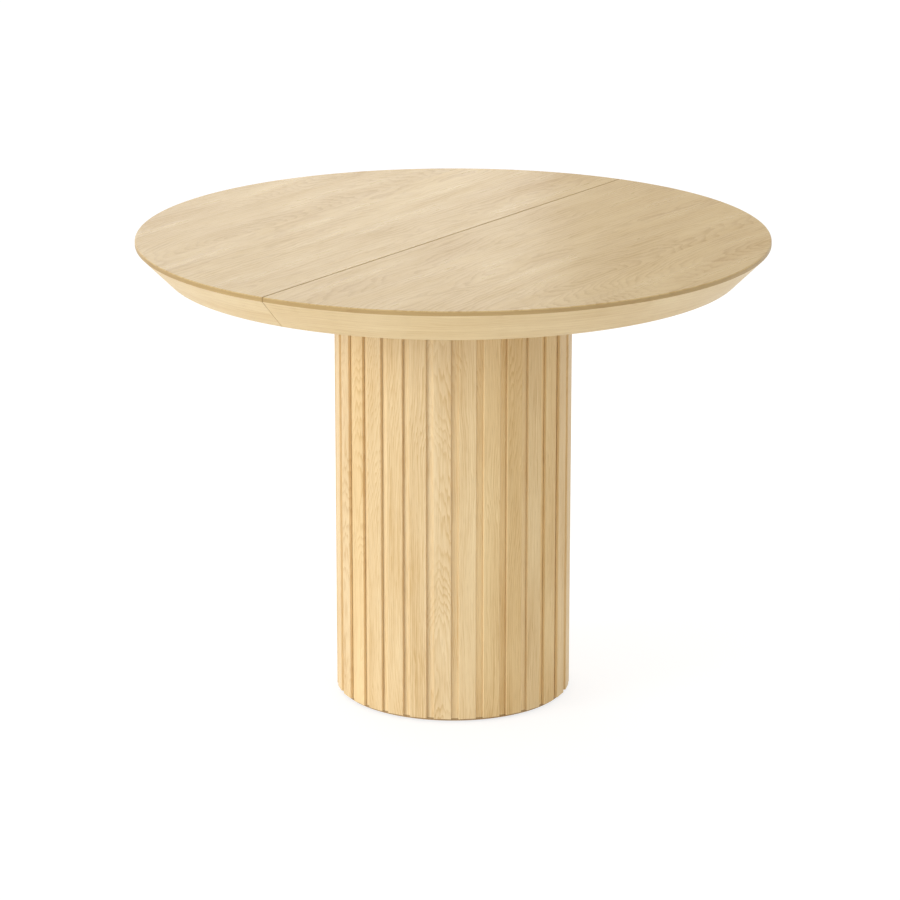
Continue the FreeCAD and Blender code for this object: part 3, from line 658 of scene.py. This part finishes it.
# One slat swept up a line from a rounded section, then set round the drum
def slat_tree(material):
    lengths = ("Face radius", "Width", "Thickness", "Low", "High", "Edge round", "First turn")
    tree = new_tree("slats_round_drum", {"Slats": "Int", **{name: "Float" for name in lengths}})
    given = add(tree, "NodeGroupInput").outputs
    section = add(tree, "GeometryNodeCurvePrimitiveQuadrilateral", {0: given["Thickness"], 1: given["Width"]})
    rounded = add(tree, "GeometryNodeFilletCurve", {
        "Curve": section.outputs[0], "Count": round_steps, "Radius": given["Edge round"]}, mode="POLY")
    line = add(tree, "GeometryNodeCurvePrimitiveLine", {
        "Start": joined(tree, 0.0, 0.0, given["Low"]), "End": joined(tree, 0.0, 0.0, given["High"])})
    swept = add(tree, "GeometryNodeCurveToMesh", {
        "Curve": line.outputs[0], "Profile Curve": rounded.outputs[0], "Fill Caps": True})
    place = add(tree, "GeometryNodeInputPosition").outputs[0]
    slat = noted(tree, swept.outputs[0], "slat_place", place, "FLOAT_VECTOR", "POINT")
    middle = calc(tree, "SUBTRACT", given["Face radius"], calc(tree, "DIVIDE", given["Thickness"], 2.0))
    set_out = add(tree, "GeometryNodeTransform", {
        "Geometry": slat, "Translation": joined(tree, middle, 0.0, 0.0)})
    points = add(tree, "GeometryNodePoints", {"Count": given["Slats"]})
    number = add(tree, "GeometryNodeInputIndex").outputs[0]
    step = calc(tree, "DIVIDE", 2 * math.pi, given["Slats"])
    turn = calc(tree, "MULTIPLY_ADD", number, step, given["First turn"])
    rotation = add(tree, "FunctionNodeEulerToRotation", {0: joined(tree, 0.0, 0.0, turn)}).outputs[0]
    placed = add(tree, "GeometryNodeInstanceOnPoints", {
        "Points": points.outputs[0], "Instance": set_out.outputs[0], "Rotation": rotation})
    told = noted(tree, placed.outputs[0], "slat_number", number, "FLOAT", "INSTANCE")
    end_tree(tree, told, material)
    return tree


def set_inputs(modifier, tree, values):
    for item in tree.interface.items_tree:
        if item.item_type == "SOCKET" and item.in_out == "INPUT" and item.name in values:
            modifier[item.identifier] = values[item.name]


# Gives a tree its sizes and turns what it makes into a finished mesh
def grown(piece, tree, values):
    modifier = piece.modifiers.new("grown", "NODES")
    modifier.node_group = tree
    set_inputs(modifier, tree, values)
    return smoothed(settle(piece))


def make_slats(material):
    made = placed_object("drum_slats", bpy.data.meshes.new("drum_slats"))
    return grown(made, slat_tree(material), {
        "Slats": slat_count, "Face radius": slat_face_radius, "Width": slat_width,
        "Thickness": slat_thickness, "Low": slat_low, "High": slat_high, "Edge round": slat_round,
        "First turn": slat_first_turn})


# Screws: a head turned from its outline
def turned_head(shares, height):
    def build(shape):
        crown = shape.verts.new((0.0, 0.0, 0.0))
        turns = [2 * math.pi * k / screw_sides for k in range(screw_sides)]
        rows = []
        for out, down in shares:
            radius = out * screw_head_radius
            low = -down * height
            rows.append([shape.verts.new((radius * math.cos(t), radius * math.sin(t), low)) for t in turns])
        for k in range(screw_sides):
            following = (k + 1) % screw_sides
            shape.faces.new((crown, rows[0][k], rows[0][following]))
            for upper, lower in zip(rows, rows[1:]):
                shape.faces.new((upper[k], lower[k], lower[following], upper[following]))
        shape.faces.new(rows[-1])
    return build


# Cross-shaped driver recess, narrower at its foot
def recess_mesh(shape):
    corner = ((recess_reach, -recess_side), (recess_reach, recess_side), (recess_side, recess_side))
    outline = []
    for quarter in range(4):
        c, s = math.cos(math.pi / 2 * quarter), math.sin(math.pi / 2 * quarter)
        outline += [(x * c - y * s, x * s + y * c) for x, y in corner]
    narrow = recess_foot_share
    mouth = [shape.verts.new((x, y, recess_depth)) for x, y in outline]
    foot = [shape.verts.new((x * narrow, y * narrow, -recess_depth)) for x, y in outline]
    shape.faces.new(mouth)
    shape.faces.new(foot)
    for k in range(len(outline)):
        following = (k + 1) % len(outline)
        shape.faces.new((mouth[k], mouth[following], foot[following], foot[k]))


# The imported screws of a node, one list of points for each
def screw_islands(node):
    shape = bmesh.new()
    shape.from_mesh(frame["nodes"][node].data)
    bmesh.ops.remove_doubles(shape, verts=shape.verts, dist=packed_weld_distance)
    waiting = set(shape.verts)
    found = []
    while waiting:
        near = [waiting.pop()]
        points = []
        while near:
            vert = near.pop()
            points.append(vert.co.copy())
            linked = {edge.other_vert(vert) for edge in vert.link_edges} & waiting
            waiting -= linked
            near += linked
        found.append(points)
    shape.free()
    return found


# Where the top of a screw's head is, which way it faces and how long the screw is
def screw_place(points):
    lows = [min(point[axis] for point in points) for axis in range(3)]
    highs = [max(point[axis] for point in points) for axis in range(3)]
    x, y = (lows[0] + highs[0]) / 2, (lows[1] + highs[1]) / 2
    middle = (screw_head_radius + screw_shank_radius) / 2
    wide = [point.z for point in points if math.hypot(point.x - x, point.y - y) > middle]
    length = highs[2] - lows[2]
    if sum(wide) / len(wide) > (lows[2] + highs[2]) / 2:
        return (x, y, highs[2]), 1.0, length
    return (x, y, lows[2]), -1.0, length


# Heads and shanks set on points that carry each screw's way, length and kind of head
def screw_tree(material):
    lengths = ("Pan height", "Flat height", "Shank radius", "Turn", "Bite")
    tree = new_tree("screws_in_place", {"Pan head": "Object", "Flat head": "Object",
                                        **{name: "Float" for name in lengths}, "Sides": "Int"})
    given = add(tree, "NodeGroupInput").outputs
    told = [add(tree, "GeometryNodeInputNamedAttribute", {"Name": name}, data_type="FLOAT")
            for name in ("way", "length", "flat")]
    way, length, flat = [node.outputs[0] for node in told]
    number = add(tree, "GeometryNodeInputIndex").outputs[0]
    over = calc(tree, "MULTIPLY", calc(tree, "SUBTRACT", 1.0, way), math.pi / 2)
    turns = joined(tree, over, 0.0, calc(tree, "MULTIPLY", number, given["Turn"]))
    rotation = add(tree, "FunctionNodeEulerToRotation", {0: turns}).outputs[0]
    pans = calc(tree, "SUBTRACT", 1.0, flat)
    join = add(tree, "GeometryNodeJoinGeometry")
    for name, chosen in (("Pan head", pans), ("Flat head", flat)):
        head = add(tree, "GeometryNodeObjectInfo", {"Object": given[name]}, transform_space="ORIGINAL")
        heads = add(tree, "GeometryNodeInstanceOnPoints", {
            "Points": given["Geometry"], "Instance": head.outputs["Geometry"], "Selection": chosen,
            "Rotation": rotation})
        tree.links.new(heads.outputs[0], join.inputs[0])
    height = calc(tree, "MULTIPLY", pans, given["Pan height"])
    height = calc(tree, "MULTIPLY_ADD", flat, given["Flat height"], height)
    start = calc(tree, "SUBTRACT", height, given["Bite"])
    down = calc(tree, "MULTIPLY", calc(tree, "MULTIPLY", start, way), -1.0)
    seats = add(tree, "GeometryNodeSetPosition", {
        "Geometry": given["Geometry"], "Offset": joined(tree, 0.0, 0.0, down)})
    rod = add(tree, "GeometryNodeMeshCylinder", {
        "Vertices": given["Sides"], "Radius": given["Shank radius"], "Depth": rod_length})
    hung = add(tree, "GeometryNodeTransform", {
        "Geometry": rod.outputs[0], "Translation": (0.0, 0.0, -rod_length / 2)})
    size = joined(tree, 1.0, 1.0, calc(tree, "SUBTRACT", length, start))
    shanks = add(tree, "GeometryNodeInstanceOnPoints", {
        "Points": seats.outputs[0], "Instance": hung.outputs[0], "Rotation": rotation, "Scale": size})
    tree.links.new(shanks.outputs[0], join.inputs[0])
    end_tree(tree, join.outputs[0], material)
    return tree


# Points for the screws of one body, sorted so that each run numbers them alike
def screw_points(name, nodes):
    screws = sorted((*screw_place(points), float(node in flat_headed))
                    for node in nodes for points in screw_islands(node))
    places, ways, lengths, flats = zip(*screws)
    mesh = bpy.data.meshes.new(name)
    mesh.from_pydata(places, [], [])
    for label, numbers in (("way", ways), ("length", lengths), ("flat", flats)):
        mesh.attributes.new(label, "FLOAT", "POINT").data.foreach_set("value", numbers)
    return placed_object(name, mesh)


# Finishes and pieces
slat_figure = {"ring_width": 0.0033, "heart_spread": 0.16, "depth_spread": 0.035, "slope_spread": 0.32,
               "ring_share": 0.5, "vein_share": 0.18, "streak_share": 0.2, "cloud_share": 0.14,
               "tone_share": 0.16, "pore_share": 0.4, "gloss": 0.25, "warm_share": 0.85, "warm_draw": 5367}
top_figure = {"ring_width": 0.007, "heart_spread": 0.11, "depth_spread": 0.06, "slope_spread": 0.3,
              "ring_share": 0.55, "flame_step": 9.0, "flame_cross": 46.0, "flame_reach": 2.8,
              "vein_share": 0.1, "streak_share": 0.16, "fleck_share": 0.24, "cloud_share": 0.2,
              "pore_share": 0.34, "rough": 0.26, "gloss": 0.07}
edge_figure = {"tone_share": 0.05, "cloud_share": 0.14, "streak_share": 0.36, "vein_share": 0.28,
               "pore_share": 0.42}
oak_top = oak("oak_top", top_grain, colour(216, 190, 138), colour(182, 149, 96), colour(142, 108, 64),
              **top_figure)
oak_rim = oak("oak_rim", edge_grain, colour(192, 163, 109), colour(160, 129, 80), colour(120, 90, 52))
oak_edge = oak("oak_edge", edge_grain, colour(242, 220, 174), colour(213, 181, 127), colour(176, 142, 94),
               **edge_figure)
oak_slat = oak("oak_slat", slat_grain, colour(242, 221, 180), colour(204, 170, 117), colour(156, 118, 70),
               slat_wear, **slat_figure)
# The core's finish carries painted shade in its grooves and on its foot
oak_core = oak("oak_core", core_grain, colour(249, 230, 190), colour(220, 188, 135), colour(156, 118, 70),
               groove_painted_shade, **slat_figure)
beech = oak("beech", block_grain, colour(226, 188, 144), colour(198, 156, 112), colour(160, 116, 78))
birch_ply = plywood("birch_ply", colour(228, 204, 162), colour(206, 178, 132), colour(132, 96, 60))
steel_zinc = metal("steel_zinc", colour(206, 208, 210), colour(176, 178, 182), zinc_mark_steps, rough=0.28)
steel_plate = moulded("steel_plate", colour(86, 86, 91), colour(72, 72, 77), powder_steps, rough=0.36)
aluminium = metal("aluminium_rail", colour(212, 213, 214), colour(188, 190, 192), rail_mark_steps, rough=0.3)
brass = metal("brass_insert", colour(212, 176, 96), colour(178, 140, 70), brass_mark_steps, rough=0.3)
nylon_white = moulded("nylon_white", colour(232, 230, 224), colour(220, 217, 208), plastic_steps, rough=0.42)
nylon_black = moulded("nylon_black", colour(38, 38, 40), colour(28, 28, 30), plastic_steps, rough=0.5)

slot_finishes = {
    "oak_top": oak_top, "oak_edge": oak_edge, "oak_slat": oak_slat, "oak_core": oak_core,
    "birch_ply": birch_ply, "beech": beech, "steel_zinc": steel_zinc, "steel_plate": steel_plate,
    "aluminium_rail": aluminium, "nylon_white": nylon_white, "nylon_black": nylon_black,
    "brass_insert": brass}


def dress_packed_nodes():
    slots = {entry["node"]: entry["material_slot"] for entry in frame["record"]["subparts"]}
    for name, piece in frame["nodes"].items():
        piece.data.materials.clear()
        piece.data.materials.append(slot_finishes[slots[name]])


def carry(piece, body, slot_name, *replaced):
    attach(piece, body)
    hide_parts(*replaced)


def make_halves():
    cutter = socket_cutter()
    for side, way in (("left", -1), ("right", 1)):
        panel = make_piece(side + "_top", panel_mesh(way), [oak_top, oak_rim, oak_edge])
        if side == "right":
            cut_away(panel, cutter)
        carry(smoothed(panel), side + "_top", "oak_top", side + "_top_panel")
        apron = make_piece(side + "_edge_ring", apron_mesh(way), [oak_edge])
        carry(smoothed(apron), side + "_top", "oak_edge", side + "_apron")
    bpy.data.objects.remove(cutter)


def make_drum():
    core = smoothed(make_piece("drum_core", core_mesh, [oak_core]))
    carry(core, "pedestal", "oak_core", "column_core")
    carry(make_slats(oak_slat), "pedestal", "oak_slat", "column_slats")


def make_screws():
    cutter = make_piece("recess_cutter", recess_mesh, [])
    pan = cut_away(make_piece("pan_head", turned_head(pan_outline_shares, pan_height), []), cutter)
    flat = cut_away(make_piece("flat_head", turned_head(flat_outline_shares, flat_height), []), cutter)
    tree = screw_tree(steel_zinc)
    sizes = {"Pan head": pan, "Flat head": flat, "Pan height": pan_height, "Flat height": flat_height,
             "Shank radius": screw_shank_radius, "Turn": screw_turn, "Bite": screw_bite, "Sides": screw_sides}
    for body, nodes in screw_sets.items():
        made = grown(screw_points(body + "_screws", nodes), tree, sizes)
        carry(made, body, "steel_zinc", *nodes)
    for spare in (cutter, pan, flat):
        bpy.data.objects.remove(spare)


# Stage: a white floor, an even fill, a soft key from one side and a sheen over the top from beyond the table
plain_white = (1.0, 1.0, 1.0, 1.0)
floor_side = 60.0
floor_white = colour(243, 243, 243)
floor_shown_share = 0.36
floor_lift = 0.76
fill_level = 1.04
fill_lean = 0.07
fill_drop = 0.34
key_level = 1.34
key_spread = math.radians(30)
key_tilt = math.radians(76)
key_turn = view_turn - math.radians(60)
key_height = 3.0
sheen_size = (2.0, 1.4)
sheen_level = 1.3
sheen_ahead = 2.2
sheen_left = 0.74
sheen_height = 1.5
sheen_aim_left = 0.3


def seen_rays(tree):
    light = add(tree, "ShaderNodeLightPath").outputs
    seen = calc(tree, "MAXIMUM", light["Is Camera Ray"], light["Is Glossy Ray"])
    return calc(tree, "MAXIMUM", seen, light["Is Transmission Ray"])


def make_floor():
    def build(shape):
        bmesh.ops.create_grid(shape, x_segments=1, y_segments=1, size=floor_side / 2)
    made, tree, shader = finish_material("floor_white")
    seen = seen_rays(tree)
    shown = (*[level * floor_shown_share for level in floor_white[:3]], 1.0)
    matt = add(tree, "ShaderNodeBsdfDiffuse", {"Color": mixed(tree, seen, floor_white, shown)})
    lift = calc(tree, "MULTIPLY", seen, floor_lift)
    glow = add(tree, "ShaderNodeEmission", {"Color": plain_white, "Strength": lift})
    both = add(tree, "ShaderNodeAddShader", {0: matt.outputs[0], 1: glow.outputs[0]})
    tree.links.new(both.outputs[0], tree.nodes["Material Output"].inputs["Surface"])
    make_piece("floor", build, [made])


def hang_lamp(lamp, place, turn):
    made = placed_object(lamp.name, lamp)
    made.location = place
    made.rotation_euler = turn
    made.visible_camera = False
    return made


def make_fill():
    world = bpy.data.worlds.new("studio")
    world.use_nodes = True
    bpy.context.scene.world = world
    tree = world.node_tree
    lean = (-fill_lean * math.cos(view_turn), -fill_lean * math.sin(view_turn), -fill_drop)
    looking = add(tree, "ShaderNodeTexCoord").outputs["Generated"]
    toward = add(tree, "ShaderNodeVectorMath", {0: looking, 1: lean}, operation="DOT_PRODUCT")
    fill = calc(tree, "ADD", toward.outputs["Value"], fill_level)
    seen = seen_rays(tree)
    level = calc(tree, "MAXIMUM", seen, calc(tree, "MULTIPLY", fill, calc(tree, "SUBTRACT", 1.0, seen)))
    background = tree.nodes["Background"]
    tree.links.new(level, background.inputs["Strength"])
    background.inputs["Color"].default_value = plain_white


# The key is kept out of reflections, or the glossy top would mirror it in the views from behind
def make_key():
    key = bpy.data.lights.new("key", "SUN")
    key.energy = key_level
    key.angle = key_spread
    hang_lamp(key, (0.0, 0.0, key_height), (key_tilt, 0.0, key_turn)).visible_glossy = False


def make_sheen():
    sheen = bpy.data.lights.new("sheen", "AREA")
    sheen.shape = "RECTANGLE"
    sheen.size, sheen.size_y = sheen_size
    sheen.energy = sheen_level * math.pi * sheen_size[0] * sheen_size[1]
    ahead = Vector((-math.sin(view_turn), math.cos(view_turn), 0.0))
    left = Vector((-math.cos(view_turn), -math.sin(view_turn), 0.0))
    place = ahead * sheen_ahead + left * sheen_left + Vector((0.0, 0.0, sheen_height))
    aim = left * sheen_aim_left + Vector((0.0, 0.0, top_high)) - place
    hang_lamp(sheen, place, aim.to_track_quat("-Z", "Y").to_euler())


def make_camera():
    lens = bpy.data.cameras.new("camera")
    lens.sensor_width = sensor_width
    lens.lens = view_focal_pixels * sensor_width / photo_width
    lens.clip_start = view_near
    lens.clip_end = view_far
    made = placed_object("camera", lens)
    away = Vector((math.sin(view_turn), -math.cos(view_turn), 0.0))
    right = Vector((math.cos(view_turn), math.sin(view_turn), 0.0))
    made.location = away * view_distance - right * view_sideways + Vector((0.0, 0.0, view_height))
    made.rotation_euler = (math.pi / 2 - view_tilt, 0.0, view_turn)
    bpy.context.scene.camera = made


dress_packed_nodes()
make_halves()
make_drum()
make_screws()
make_floor()
make_fill()
make_key()
make_sheen()
make_camera()
bpy.context.scene.view_settings.view_transform = "Standard"
